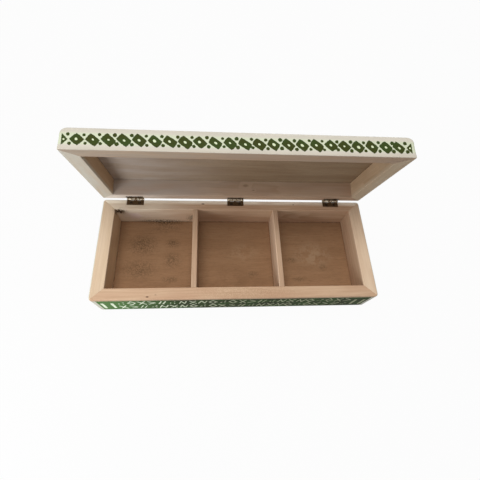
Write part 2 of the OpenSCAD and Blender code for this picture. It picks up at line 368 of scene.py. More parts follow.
class Bench:
    """Puts the nodes of one material, or of the world, together."""

    def __init__(self, name: str, tree: bpy.types.NodeTree | None = None) -> None:
        """Starts an empty material, or empties the tree that is given.

        Args:
            name: Name of the material.
            tree: A tree that stands already.
        """
        if tree is None:
            self.material = bpy.data.materials.new(name)
            self.material.use_nodes = True
            tree = self.material.node_tree
        self.tree = tree
        self.tree.nodes.clear()

    def node(self, kind: str, inputs: dict | None = None, **settings: object) -> bpy.types.Node:
        """Adds a node.

        Args:
            kind: Blender's name for it, without the leading ShaderNode.
            inputs: Value or socket for each input, by name or number.
            settings: Properties of the node.

        Returns:
            The node.
        """
        made = self.tree.nodes.new("ShaderNode" + kind)
        for key, value in settings.items():
            setattr(made, key, value)
        for key, value in (inputs or {}).items():
            if isinstance(value, bpy.types.NodeSocket):
                self.tree.links.new(value, made.inputs[key])
            else:
                made.inputs[key].default_value = value
        return made

    def attribute(self, name: str, output: str = "Fac") -> Socket:
        """A value that the mesh carries."""
        return self.node("Attribute", attribute_name=name).outputs[output]

    def scaled(self, vector: Socket, scale: Sequence[float], shift: Sequence[float] = (0, 0, 0),
               turn: Sequence[float] = (0, 0, 0)) -> Socket:
        """The vector scaled, turned and then shifted."""
        inputs = {"Vector": vector, "Scale": scale, "Location": shift, "Rotation": turn}
        return self.node("Mapping", inputs, vector_type="POINT").outputs[0]

    def in_mm(self, shift: Sequence[float] = (0, 0, 0), turn: Sequence[float] = (0, 0, 0)) -> Socket:
        """Object coordinates in millimetres, turned and then shifted."""
        return self.scaled(self.node("TexCoord").outputs["Object"], (1 / MM,) * 3, shift, turn)

    def away(self, place: Socket, middle: Sequence[float], size: Sequence[float]) -> Socket:
        """Distance |(place - middle) / size|; an infinite size leaves its direction out."""
        near = self.scaled(place, [1 / s for s in size], [-m / s for m, s in zip(middle, size)])
        return self.node("VectorMath", {0: near}, operation="LENGTH").outputs["Value"]

    def noise(self, vector: Socket, scale: float = 1.0, detail: float = 2.0,
              roughness: float = 0.5, distortion: float = 0.0) -> Socket:
        """Smooth noise from 0 to 1.

        Args:
            vector: Where it is read.
            scale: How fast it changes.
            detail: Layers of finer noise in it.
            roughness: How strong they are.
            distortion: How far it is drawn out of place.

        Returns:
            The noise.
        """
        inputs = {"Vector": vector, "Scale": scale, "Detail": detail,
                  "Roughness": roughness, "Distortion": distortion}
        return self.node("TexNoise", inputs).outputs[0]

    def math(self, operation: str, *values: object) -> Socket:
        """One step of arithmetic."""
        return self.node("Math", dict(enumerate(values)), operation=operation).outputs[0]

    def times(self, a: object, b: object) -> Socket:
        """a b."""
        return self.math("MULTIPLY", a, b)

    def less(self, a: object, b: object) -> Socket:
        """a - b."""
        return self.math("SUBTRACT", a, b)

    def times_plus(self, a: object, b: object, c: object) -> Socket:
        """a b + c."""
        return self.math("MULTIPLY_ADD", a, b, c)

    def split(self, vector: Socket) -> tuple[Socket, Socket, Socket]:
        """The three parts of a vector."""
        return tuple(self.node("SeparateXYZ", {0: vector}).outputs)

    def ease(self, value: Socket, low: float, high: float, start: float = 0.0,
             end: float = 1.0) -> Socket:
        """Smooth step: start where value is low or less, end where it is high or more."""
        inputs = {"Value": value, "From Min": low, "From Max": high, "To Min": start, "To Max": end}
        return self.node("MapRange", inputs, interpolation_type="SMOOTHSTEP").outputs[0]

    def edge(self, value: Socket, place: float, soft: float) -> Socket:
        """1 below a place and 0 above it, softened by so much on both sides."""
        return self.ease(value, place - soft, place + soft, 1.0, 0.0)

    def mix(self, share: object, a: object, b: object) -> Socket:
        """Colour a at share 0 and b at share 1."""
        return self.node("Mix", {0: share, 6: a, 7: b}, data_type="RGBA").outputs[2]

    def blend(self, share: object, a: object, b: object) -> Socket:
        """Number a at share 0 and b at share 1."""
        return self.node("Mix", {0: share, 2: a, 3: b}, data_type="FLOAT").outputs[0]

    def finish(self, layer: "Layer", gloss: float, **values: float) -> bpy.types.Material:
        """Ends the material in a Principled shader.

        Args:
            layer: Colour, roughness and relief.
            gloss: Specular level.
            values: Other inputs of the shader.

        Returns:
            The material.
        """
        bump = {"Height": layer.height, "Distance": MM, "Strength": 1.0}
        inputs = {"Base Color": layer.colour, "Roughness": layer.roughness,
                  "Normal": self.node("Bump", bump).outputs[0], "Specular IOR Level": gloss}
        shader = self.node("BsdfPrincipled", {**inputs, **values})
        self.node("OutputMaterial", {"Surface": shader.outputs[0]})
        return self.material


@dataclass(frozen=True)
class Layer:
    """What one finish gives at a point: colour, roughness and relief in millimetres."""

    colour: Socket
    roughness: Socket
    height: Socket

    def under(self, bench: Bench, share: Socket, top: "Layer") -> "Layer":
        """This finish with another laid over it.

        Args:
            bench: The material's bench.
            share: How far the other one covers it.
            top: The other finish.

        Returns:
            Both together.
        """
        return Layer(bench.mix(share, self.colour, top.colour),
                     bench.blend(share, self.roughness, top.roughness),
                     bench.blend(share, self.height, top.height))


@dataclass(frozen=True)
class Grain:
    """Noise drawn out along a board: how fast it changes along and across it."""

    along: float
    across: float
    detail: float = 3.0
    roughness: float = 0.5
    distortion: float = 0.0

    def on(self, bench: Bench, place: Socket) -> Socket:
        """The noise, from 0 to 1."""
        drawn = bench.scaled(place, (self.along, self.across, self.across))
        return bench.noise(drawn, 1.0, self.detail, self.roughness, self.distortion)


# ------------------------------------------------------------------------- marks


class Mark:
    """A mark on a board or panel, laid over its colour; all its lengths are millimetres."""

    colour: Colour

    def share(self, bench: Bench, place: Socket) -> Socket:
        """How strongly the mark shows at a place."""
        raise NotImplementedError

    def over(self, bench: Bench, place: Socket, body: Socket) -> Socket:
        """The colour body with the mark over it."""
        return bench.mix(self.share(bench, place), body, self.colour)


@dataclass(frozen=True)
class Knot(Mark):
    """A small knot: its place on the board and its radius."""

    along: float
    depth: float
    height: float
    radius: float
    strength: float = 1.0
    colour: Colour = tint(84, 60, 44)

    def away(self, bench: Bench, place: Socket) -> Socket:
        """Distance from the knot in its radii, stretched twice along the grain."""
        size = (2 * self.radius, self.radius, self.radius)
        return bench.away(place, (self.along, self.depth, self.height), size)

    def swell(self, bench: Bench, place: Socket) -> Socket:
        """How far the knot pushes the rings aside."""
        return bench.ease(self.away(bench, place), 0.0, 4.0, 2.2 * self.radius, 0.0)

    def share(self, bench: Bench, place: Socket) -> Socket:
        """Its dark heart, with a ragged edge."""
        ragged = bench.times_plus(bench.noise(place, 1.3, 2.0), 0.9, self.away(bench, place))
        return bench.ease(ragged, 1.0, 1.75, self.strength, 0.0)


@dataclass(frozen=True)
class WashAndPaintedLight(Mark):
    """Thin film over a board, of paint and of painted light: its strength between two places along it.

    With rise or sink given, the film lies fully at the first of those two heights or depths
    and not at the second.
    """

    start: float
    end: float
    at_start: float
    at_end: float
    colour: Colour = tint(196, 188, 180)
    rise: tuple[float, float] | None = None
    sink: tuple[float, float] | None = None

    CLOUD = Grain(0.03, 0.16)

    def share(self, bench: Bench, place: Socket) -> Socket:
        """The film, made patchy by noise.

        Args:
            bench: The material's bench.
            place: Board coordinates.

        Returns:
            Its strength.
        """
        along, depth, height = bench.split(place)
        share = bench.ease(along, self.start, self.end, self.at_start, self.at_end)
        for way, ends in ((height, self.rise), (depth, self.sink)):
            if ends:
                share = bench.times(share, bench.ease(way, *ends, 1.0, 0.0))
        return bench.times(share, bench.ease(self.CLOUD.on(bench, place), 0.3, 0.7, 0.7, 1.25))


@dataclass(frozen=True)
class DustAndPaintedLight(Mark):
    """A patch of specks over the wood, of dust and in places of painted light and painted shade: the
    middle, half size and strength of its patch.
    """

    middle: tuple[float, float, float]
    half_size: tuple[float, float, float]
    strength: float
    colour: Colour = tint(60, 48, 32)
    grain: float = 0.8

    def share(self, bench: Bench, place: Socket) -> Socket:
        """Specks that thin out to the edge of the patch."""
        patch = bench.ease(bench.away(place, self.middle, self.half_size), 0.1, 1.0, self.strength, 0.0)
        return bench.times(patch, bench.ease(bench.noise(place, self.grain, 4.0, 0.75), 0.42, 0.58))


@dataclass(frozen=True)
class SeamAndShade(Mark):
    """Dark line round a panel's opening, from its lowest to its highest corner: the joint, and painted
    shade where the panel meets the boards.
    """

    low: tuple[float, float]
    high: tuple[float, float]
    width: float = 0.9
    strength: float = 0.55
    colour: Colour = tint(62, 44, 30)

    def share(self, bench: Bench, place: Socket) -> Socket:
        """The line, stronger in some places than in others.

        It lies where max(|x| - a, |y| - b) is near 0, x and y being measured from the
        middle of the opening and a and b its half sizes.

        Args:
            bench: The material's bench.
            place: The panel's coordinates.

        Returns:
            Its strength.
        """
        gaps = [bench.less(bench.math("ABSOLUTE", bench.less(way, (low + high) / 2)), (high - low) / 2)
                for way, low, high in zip(bench.split(place), self.low, self.high)]
        near = bench.math("ABSOLUTE", bench.math("MAXIMUM", *gaps))
        cloud = bench.ease(bench.noise(place, 0.12, 2.0), 0.35, 0.65, 0.5, 1.0)
        return bench.times(bench.ease(near, 0.1, self.width, self.strength, 0.0), cloud)


# ------------------------------------------------------------------------- wood


@dataclass(frozen=True)
class Timber:
    """Sawn softwood, in board coordinates: growth rings about a pith that runs along it."""

    pale: Colour
    rosy: Colour
    late: Colour
    pith: tuple[float, float]
    seed: float
    ring: float = 2.6
    contrast: float = 0.3
    knots: tuple[Knot, ...] = ()
    marks: tuple[Mark, ...] = ()
    wander: float = 13.0
    years: float = 5.0
    years_scale: float = 0.16

    WANDER = Grain(0.009, 0.04)
    DRIFT = Grain(0.014, 0.06, 2.0)
    BAND = Grain(0.006, 0.42, 3.0, 0.6)
    FIBRE = Grain(0.03, 2.4, 4.0, 0.6)
    FLECK = Grain(0.16, 3.6, 2.0)

    def lay(self, bench: Bench, board: Socket) -> Layer:
        """Builds the wood.

        Late wood darkens towards the end of each ring. Long thin noise gives the fibres, and
        short thin noise the dark flecks between them.

        Args:
            bench: The material's bench.
            board: Board coordinates in millimetres.

        Returns:
            The finish.
        """
        at = bench.scaled(board, (1, 1, 1), (self.seed, 0, 0))
        drift, band, fibre = (g.on(bench, at) for g in (self.DRIFT, self.BAND, self.FIBRE))
        fleck = bench.ease(self.FLECK.on(bench, at), 0.63, 0.74)
        ring = bench.math("FRACT", bench.math("DIVIDE", self._radius(bench, board, at), self.ring))
        late = bench.times(bench.ease(ring, 0.2, 0.88), bench.ease(ring, 0.9, 1.0, 1.0, 0.0))
        strength = bench.ease(band, 0.3, 0.7, self.contrast * 1.3, self.contrast * 0.3)
        body = bench.mix(bench.ease(drift, 0.36, 0.64), self.pale, self.rosy)
        for share in (bench.times(late, strength), bench.ease(band, 0.48, 0.8, 0.0, 0.3),
                      bench.ease(fibre, 0.3, 0.72, 0.0, 0.26), bench.times(fleck, 0.26)):
            body = bench.mix(share, body, self.late)
        for mark in (*self.marks, *self.knots):
            body = mark.over(bench, board, body)
        relief = bench.times_plus(fleck, -0.03, bench.times(fibre, 0.05))
        relief = bench.times_plus(late, 0.012, relief)
        return Layer(body, bench.ease(fibre, 0.2, 0.8, 0.62, 0.8), relief)

    def _radius(self, bench: Bench, board: Socket, at: Socket) -> Socket:
        """Distance from the pith, which the ring's width divides into years.

        R = hypot(depth - p, height - q), with a slow wander, the swelling round the knots and
        noise of R itself, which makes wide and narrow years; wander and years are the reach
        of the two in millimetres.

        Args:
            bench: The material's bench.
            board: Board coordinates.
            at: The same, shifted by the seed.

        Returns:
            The distance in millimetres.
        """
        radius = bench.away(board, (0, *self.pith), (math.inf, 1, 1))
        radius = bench.times_plus(bench.less(self.WANDER.on(bench, at), 0.5), self.wander, radius)
        for knot in self.knots:
            radius = bench.math("ADD", radius, knot.swell(bench, board))
        years = bench.node("CombineXYZ", {0: bench.times(radius, self.years_scale), 1: self.seed})
        return bench.times_plus(bench.noise(years.outputs[0]), self.years, radius)


@dataclass(frozen=True)
class Ply:
    """Rotary-cut plywood: long wavering fibres, dark pores and a browner tone."""

    pale: Colour
    brown: Colour
    pore: Colour
    seed: float
    marks: tuple[Mark, ...]

    FIGURE = Grain(0.012, 0.09, 4.0, 0.55, 0.6)
    FIBRE = Grain(0.045, 1.9, 4.0, 0.62)
    PORE = Grain(0.22, 3.2, 1.0)

    def lay(self, bench: Bench, sheet: Socket) -> Layer:
        """Builds the plywood face.

        Args:
            bench: The material's bench.
            sheet: Coordinates in millimetres, with the grain along the first.

        Returns:
            The finish.
        """
        at = bench.scaled(sheet, (1, 1, 1), (self.seed, 0, 0))
        figure, fibre, pore = (g.on(bench, at) for g in (self.FIGURE, self.FIBRE, self.PORE))
        pore = bench.ease(pore, 0.6, 0.7)
        body = bench.mix(bench.ease(figure, 0.33, 0.67), self.pale, self.brown)
        body = bench.mix(bench.ease(fibre, 0.32, 0.7, 0.0, 0.28), body, self.pore)
        body = bench.mix(bench.times(pore, 0.4), body, self.pore)
        for mark in self.marks:
            body = mark.over(bench, sheet, body)
        relief = bench.times_plus(pore, -0.05, bench.times(fibre, 0.05))
        return Layer(body, bench.ease(fibre, 0.2, 0.8, 0.6, 0.78), relief)


# ------------------------------------------------------------------------- paint


@dataclass(frozen=True)
class Paintwork:
    """Matt paint brushed on the outside by hand: a coat, a ground colour and light strokes.

    border is how far the coat runs in over the rim and wander how much its edge strays.
    Above base the border widens by climb for each millimetre, until the coat covers the
    whole top. Round the painted figures, from bloom_low to bloom_high above base, the coat
    takes on bloom_share of their green, in to the depth bloom_reach; bloom_fade is the rise
    over which this starts and ends. Along the board the strokes dim from stroke to
    stroke_dry, between the two places of drying: painted shade, with the
    strokes lit at the left end. Above the height bare no coat is left, and up to thin_rise
    over base it gains on the share thin. Between the two places of fresh_run the
    share fresh of ground_fresh, a brighter green painted as light
    falling on the left end, runs out of the ground. Each soft is half the width of an edge,
    and each quiver says how unsteady the hand was. All lengths are in millimetres.
    """

    coat: Colour
    shade: Colour
    ground: Colour
    ground_thin: Colour
    ground_fresh: Colour
    stroke: Colour
    stroke_dry: Colour
    border: float
    wander: float = 0.5
    climb: float = 0.0
    base: float = 0.0
    bloom: Colour = tint(206, 215, 186)
    bloom_low: float = 0.0
    bloom_high: float = 0.0
    bloom_fade: tuple[float, float] = (1.5, 2.5)
    bloom_reach: float = 6.0
    bloom_share: float = 0.8
    drying: tuple[float, float] = (-105.0, 10.0)
    bare: float = 1000.0
    thin: float = 1.0
    thin_rise: float = 2.5
    fresh: float = 0.0
    fresh_run: tuple[float, float] = (-124.0, -45.0)
    edge_soft: float = 0.16
    worn_wander: float = 1.6
    worn_soft: float = 0.25
    figure_soft: float = 0.13
    ground_quiver: float = 1.1
    stroke_quiver: float = 0.8

    BRISTLE = Grain(0.05, 2.2, 3.0, 0.6)
    GREEN_PATCH = Grain(0.05, 0.11)
    COAT_PATCH = Grain(0.03, 0.09)
    EDGE = Grain(0.2, 0.3, 4.0, 0.65)

    def lay(self, bench: Bench, board: Socket, wood: Layer) -> Layer:
        """Paints over the wood.

        Args:
            bench: The material's bench.
            board: Board coordinates in millimetres.
            wood: The wood below.

        Returns:
            The finish.
        """
        along, depth, height = bench.split(board)
        stray = bench.less(self.EDGE.on(bench, board), 0.5)
        risen = bench.math("MAXIMUM", bench.less(height, self.base), 0.0)
        edge = bench.times_plus(stray, self.wander, bench.times_plus(risen, -self.climb, depth))
        worn = bench.times_plus(stray, self.worn_wander, height)
        cover = bench.times(bench.edge(edge, self.border, self.edge_soft),
                            bench.edge(worn, self.bare, self.worn_soft))
        cover = bench.times(cover, bench.ease(risen, 0.0, self.thin_rise, self.thin, 1.0))
        starts, stops = self.bloom_fade
        bloom = bench.times(bench.ease(risen, self.bloom_low, self.bloom_low + starts),
                            bench.ease(risen, self.bloom_high, self.bloom_high + stops, 1.0, 0.0))
        bloom = bench.times(bloom, bench.ease(edge, self.border, self.bloom_reach,
                                              self.bloom_share, 0.0))
        coat = self.plain_coat(bench, board)
        painted = wood.under(bench, cover, replace(
            coat, colour=bench.mix(bloom, coat.colour, self.bloom)))
        quiver = bench.less(bench.noise(board, 0.7, 3.0, 0.65), 0.5)
        ground = self._laid(bench, "ground", quiver, self.ground_quiver, cover)
        stroke = self._laid(bench, "stroke", quiver, self.stroke_quiver, cover)
        # Painted shade: the light strokes dim along the board away from its left end.
        light = bench.mix(bench.ease(along, *self.drying), self.stroke, self.stroke_dry)
        colour = bench.mix(ground, painted.colour, self._green(bench, board, along))
        relief = bench.times_plus(ground, 0.04, painted.height)
        return Layer(bench.mix(stroke, colour, light), painted.roughness,
                     bench.times_plus(stroke, 0.05, relief))

    def plain_coat(self, bench: Bench, board: Socket) -> Layer:
        """The coat alone: brush lines along the board over slow patches of a greyer tone.

        Args:
            bench: The material's bench.
            board: Board coordinates.

        Returns:
            The finish.
        """
        bristle, patch = self.BRISTLE.on(bench, board), self.COAT_PATCH.on(bench, board)
        coat = bench.mix(bench.ease(patch, 0.35, 0.7), self.coat, self.shade)
        coat = bench.mix(bench.ease(bristle, 0.3, 0.75, 0.0, 0.3), coat, self.shade)
        return Layer(coat, bench.ease(bristle, 0.2, 0.8, 0.52, 0.66),
                     bench.times_plus(bristle, 0.035, 0.07))

    def _green(self, bench: Bench, board: Socket, along: Socket) -> Socket:
        """The ground colour, thinner in patches and brush lines, with painted light, a brighter green,
        where it starts.

        Args:
            bench: The material's bench.
            board: Board coordinates.
            along: The first of them.

        Returns:
            The colour.
        """
        bristle, patch = self.BRISTLE.on(bench, board), self.GREEN_PATCH.on(bench, board)
        green = bench.mix(bench.ease(patch, 0.42, 0.62), self.ground, self.ground_thin)
        green = bench.mix(bench.ease(bristle, 0.4, 0.8, 0.0, 0.35), green, self.ground_thin)
        # Painted light: a brighter green at the start of the board.
        return bench.mix(bench.ease(along, *self.fresh_run, self.fresh, 0.0), green,
                         self.ground_fresh)

    def _laid(self, bench: Bench, name: str, quiver: Socket, reach: float, cover: Socket) -> Socket:
        """Where a painted figure lies: its carried distance, made unsteady, is below 0."""
        away = bench.times_plus(quiver, reach, bench.attribute(name))
        return bench.times(bench.edge(away, 0.0, self.figure_soft), cover)


def stroke_distance(x: Array, y: Array, strokes: Sequence[tuple[float, ...]]) -> Array:
    """Distance from points to the nearest of some round-ended strokes.

    For a stroke of half width r from p to q, h = clip((a - p) . (q - p) / |q - p|^2, 0, 1)
    and the distance is |a - p - h (q - p)| - r.

    Args:
        x: First coordinate of the points.
        y: Second coordinate.
        strokes: The two coordinates of p, those of q, and r, for each stroke.

    Returns:
        The distances, shaped as x.
    """
    nearest = np.full(x.shape, FAR_MM)
    for px, py, qx, qy, half in strokes:
        vx, vy = qx - px, qy - py
        h = np.clip(((x - px) * vx + (y - py) * vy) / (vx * vx + vy * vy + 1e-9), 0, 1)
        np.minimum(nearest, np.hypot(x - px - h * vx, y - py - h * vy) - half, out=nearest)
    return nearest


@dataclass(frozen=True)
class DiamondBorder:
    """Row of hand-painted diamonds with a light dot in each and dots between them.

    Lengths are in millimetres, measured along the board and up from the lid's rim. The
    painter's hand drifts: within the first diamonds the lean grows from lean_first to
    lean_full and the tilt from nothing to its number of degrees, with 1 - exp(-k / drift)
    at diamond k, and along the row the lean falls back to lean_last. Random draws from
    -draw_limit to draw_limit make the rest uneven, each by its own stray.
    """

    pitch: float = 11.02
    offset: float = -0.45
    level: float = 8.1
    half_width: float = 5.3
    half_height: float = 5.15
    bulge: float = 1.14
    lean_first: float = 0.7
    lean_full: float = 2.4
    lean_last: float = 1.8
    tilt: float = -4.5
    drift: float = 1.5
    dot: float = 1.42
    dot_above: float = 3.8
    dot_below: float = 3.3
    heart: float = 1.0
    margin: float = 13.0
    end_start: float = 0.5
    end_slope: float = 1.05
    end_reach: float = 5.0
    end_dot: float = 0.72
    end_dot_at: float = 3.4
    draw_limit: float = 1.6
    place_stray: float = 0.25
    turn_stray: float = 3.0
    lean_stray: float = 0.4
    size_stray: tuple[float, float] = (0.035, 0.07)
    heart_stray: float = 0.14
    dot_shift: float = 0.5
    dot_stray: tuple[float, float] = (0.4, 0.22)
    dot_size_stray: float = 0.1
    seed: int = 7

    def figures(self, along: Array, up: Array, half_run: float) -> tuple[Array, Array]:
        """Signed distances to the dark figures and to the light dots in them.

        Args:
            along: Place along the board.
            up: Height above the rim.
            half_run: Half the board's length.

        Returns:
            Distances to the dark and to the light figures, negative inside.
        """
        count = int((half_run - self.margin) * 2 / self.pitch) + 1
        rng = np.random.default_rng(self.seed)
        stray = np.clip(rng.normal(0, 1, (count + 2, 12)), -self.draw_limit, self.draw_limit)
        run, v = along - (self.offset - self.pitch * (count - 1) / 2), up - self.level
        cell = np.clip(np.rint(run / self.pitch), 0, count - 1).astype(int)
        dark, light = self._diamond(run - cell * self.pitch, v, cell, count, stray[cell])
        gap = np.clip(np.rint(run / self.pitch + 0.5), 0, count).astype(int)
        dark = np.minimum(dark, self._dots(run - (gap - 0.5) * self.pitch, v, stray[gap]))
        for way, edge in ((-1, -0.5), (1, count - 0.5)):
            tip, dot = self._half_diamond((run - edge * self.pitch) * way, v)
            dark, light = np.minimum(dark, tip), np.minimum(light, dot)
        return dark, light

    def _diamond(self, u: Array, v: Array, cell: Array, count: int,
                 own: Array) -> tuple[Array, Array]:
        """Distances to a diamond and to the light dot in it.

        The diamond is the set where n = (|u' / w|^p + |v' / h|^p)^(1 / p) < 1, u' and v'
        being measured in its own leaning axes and p a little over 1 to bulge its sides; its
        distance is about (n - 1) w h / hypot(w, h). A dot's is hypot(u, v) - r.

        Args:
            u: Place along the row, from the diamond's middle.
            v: Height above the row's level.
            cell: Number of the diamond.
            count: How many there are.
            own: The diamond's random draws.

        Returns:
            Both distances.
        """
        u, v = u - self.place_stray * own[..., 0], v - self.place_stray * own[..., 1]
        drifted = 1 - np.exp(-cell / self.drift)
        turn = np.radians(self.tilt * drifted + self.turn_stray * own[..., 2])
        settled = self.lean_full + (self.lean_last - self.lean_full) * cell / (count - 1)
        lean = self.lean_first + (settled - self.lean_first) * drifted
        lean = lean + self.lean_stray * own[..., 3]
        u2 = u * np.cos(turn) + v * np.sin(turn) + lean / self.half_height * v
        v2 = -u * np.sin(turn) + v * np.cos(turn)
        w = self.half_width * (1 + self.size_stray[0] * own[..., 4])
        h = self.half_height * (1 + self.size_stray[1] * own[..., 5])
        norm = (np.abs(u2 / w) ** self.bulge + np.abs(v2 / h) ** self.bulge) ** (1 / self.bulge)
        heart = np.hypot(u2 + 0.25 * own[..., 7], v2 + 0.2 * own[..., 8])
        heart = heart - self.heart * (1 + self.heart_stray * own[..., 6])
        return (norm - 1) * w * h / np.hypot(w, h), heart

    def _dots(self, u: Array, v: Array, own: Array) -> Array:
        """Distance to the dots above and below the place where two diamonds meet.

        Args:
            u: Place along the row, from that place.
            v: Height above the row's level.
            own: The pair's random draws.

        Returns:
            The distance.
        """
        across, upwards = self.dot_stray
        above = np.hypot(u - across * own[..., 9] + self.dot_shift,
                         v - self.dot_above - upwards * own[..., 10])
        below = np.hypot(u - across * own[..., 11] - self.dot_shift,
                         v + self.dot_below + upwards * own[..., 6])
        return np.minimum(above, below) - self.dot * (1 + self.dot_size_stray * own[..., 8])

    def _half_diamond(self, u: Array, v: Array) -> tuple[Array, Array]:
        """Distances to the half diamond, and its dot, that end the row where u is 0.

        Between the slanted sides |v| = slope (u - start), at distance about 0.69 times their
        height, and the straight one at u = reach.

        Args:
            u: Place along the row, outwards.
            v: Height above the row's level.

        Returns:
            Both distances.
        """
        v = np.abs(v + 0.1)
        sides = (v - self.end_slope * (u - self.end_start)) * 0.69
        return np.maximum(sides, u - self.end_reach), np.hypot(u - self.end_dot_at, v) - self.end_dot


class Figure(Enum):
    """Figures of the body's painted band, as strokes in a cell one wide and one high."""

    CROSS = ((0.1, 0.08, 0.9, 0.92), (0.1, 0.92, 0.9, 0.08))
    LOZENGE = ((0.5, 0.04, 0.95, 0.5), (0.95, 0.5, 0.5, 0.96), (0.5, 0.96, 0.05, 0.5),
               (0.05, 0.5, 0.5, 0.04))
    ZIGZAG = ((0.0, 0.15, 0.33, 0.85), (0.33, 0.85, 0.66, 0.15), (0.66, 0.15, 1.0, 0.85))
    SLANTS = ((0.05, 0.15, 0.45, 0.9), (0.5, 0.1, 0.95, 0.85))
    ARROW = ((0.1, 0.1, 0.85, 0.5), (0.85, 0.5, 0.1, 0.9))
    SEEDS = ((0.2, 0.3, 0.3, 0.42), (0.7, 0.62, 0.8, 0.74), (0.68, 0.2, 0.74, 0.28))


@dataclass(frozen=True)
class FigureBand:
    """Green band of the body with light brush strokes in two rows, in millimetres."""

    low: float = 1.4
    high: float = 32.6
    end_gap: float = 5.4
    margin: float = 2.5
    bars: tuple[float, ...] = (3.4, 12.2)
    bar_half: float = 1.3
    bar_low: float = 8.0
    bar_high: float = 23.5
    bar_room: float = 16.0
    cell: float = 9.4
    cell_fill: float = 0.82
    row_gap: float = 2.4
    stroke_half: float = 0.6
    stray: float = 0.32
    seed: int = 21
    row: tuple[Figure, ...] = (
        Figure.CROSS, Figure.LOZENGE, Figure.ZIGZAG, Figure.ARROW, Figure.SEEDS,
        Figure.CROSS, Figure.SLANTS, Figure.LOZENGE, Figure.ZIGZAG, Figure.SEEDS)

    def figures(self, along: Array, up: Array, half_run: float) -> tuple[Array, Array]:
        """Signed distances to the green band and to the light strokes.

        The band is a rectangle, at distance max(|x| - a, |y| - b) from its edge. Two bars
        stand at each end, and two rows of figures run between them.

        Args:
            along: Place along the board.
            up: Height above the board's lower edge.
            half_run: Half the board's length.

        Returns:
            Distances to the band and to the strokes, negative inside.
        """
        middle, half = (self.low + self.high) / 2, (self.high - self.low) / 2
        reach = half_run - self.end_gap
        band = np.maximum(np.abs(along) - reach, np.abs(up - middle) - half)
        return band, stroke_distance(along, up, self._strokes(reach))

    def _strokes(self, reach: float) -> list[tuple[float, ...]]:
        """The strokes of every bar and figure.

        Args:
            reach: Half the band's length.

        Returns:
            x0, y0, x1, y1 and half width of each.
        """
        rng = np.random.default_rng(self.seed)
        found = [(end * (reach - x), self.bar_low, end * (reach - x), self.bar_high, self.bar_half)
                 for end in (-1, 1) for x in self.bars]
        room = (reach - self.bar_room) * 2
        step = room / int(room / self.cell)
        width = step * self.cell_fill
        rise = (self.high - self.low - 2 * self.margin - self.row_gap) / 2
        for k in range(int(room / self.cell)):
            left = k * step - room / 2 + (step - width) / 2
            for level in (0, 1):
                base = self.low + self.margin + level * (rise + self.row_gap)
                for x0, y0, x1, y1 in self.row[(k * 3 + level * 4) % len(self.row)].value:
                    a, b, c, d = rng.normal(0, self.stray, 4)
                    found.append((left + x0 * width + a, base + y0 * rise + b,
                                  left + x1 * width + c, base + y1 * rise + d,
                                  self.stroke_half * rng.uniform(0.8, 1.25)))
        return found


# ------------------------------------------------------------------------- boards


class Side(Enum):
    """Side of the box that a board stands on, as quarter turns from the front."""

    FRONT = 0
    RIGHT = 1
    BACK = 2
    LEFT = 3

    def placed(self, along: Array, out: Array, up: Array) -> Array:
        """Points at these distances to the right, outwards and up, seen from this side."""
        cos, sin = ((1, 0), (0, 1), (-1, 0), (0, -1))[self.value]
        return np.stack([along * cos + out * sin, along * sin - out * cos, up], -1)


@dataclass(frozen=True)
class Recess:
    """Recess for a hinge leaf, cut down from above or up from below to its floor."""

    middle: float
    half_length: float
    depth: float
    floor: float
    from_above: bool

    def cut(self, s: Array, depth: Array, height: Array) -> Array:
        """The heights of a board's points after the cut.

        Args:
            s: Their places along the board.
            depth: Their depths.
            height: Their heights.

        Returns:
            The heights.
        """
        inside = np.abs(s - self.middle) <= self.half_length + TINY
        inside = inside & (depth <= self.depth + TINY)
        press = np.minimum if self.from_above else np.maximum
        return np.where(inside, press(height, self.floor), height)


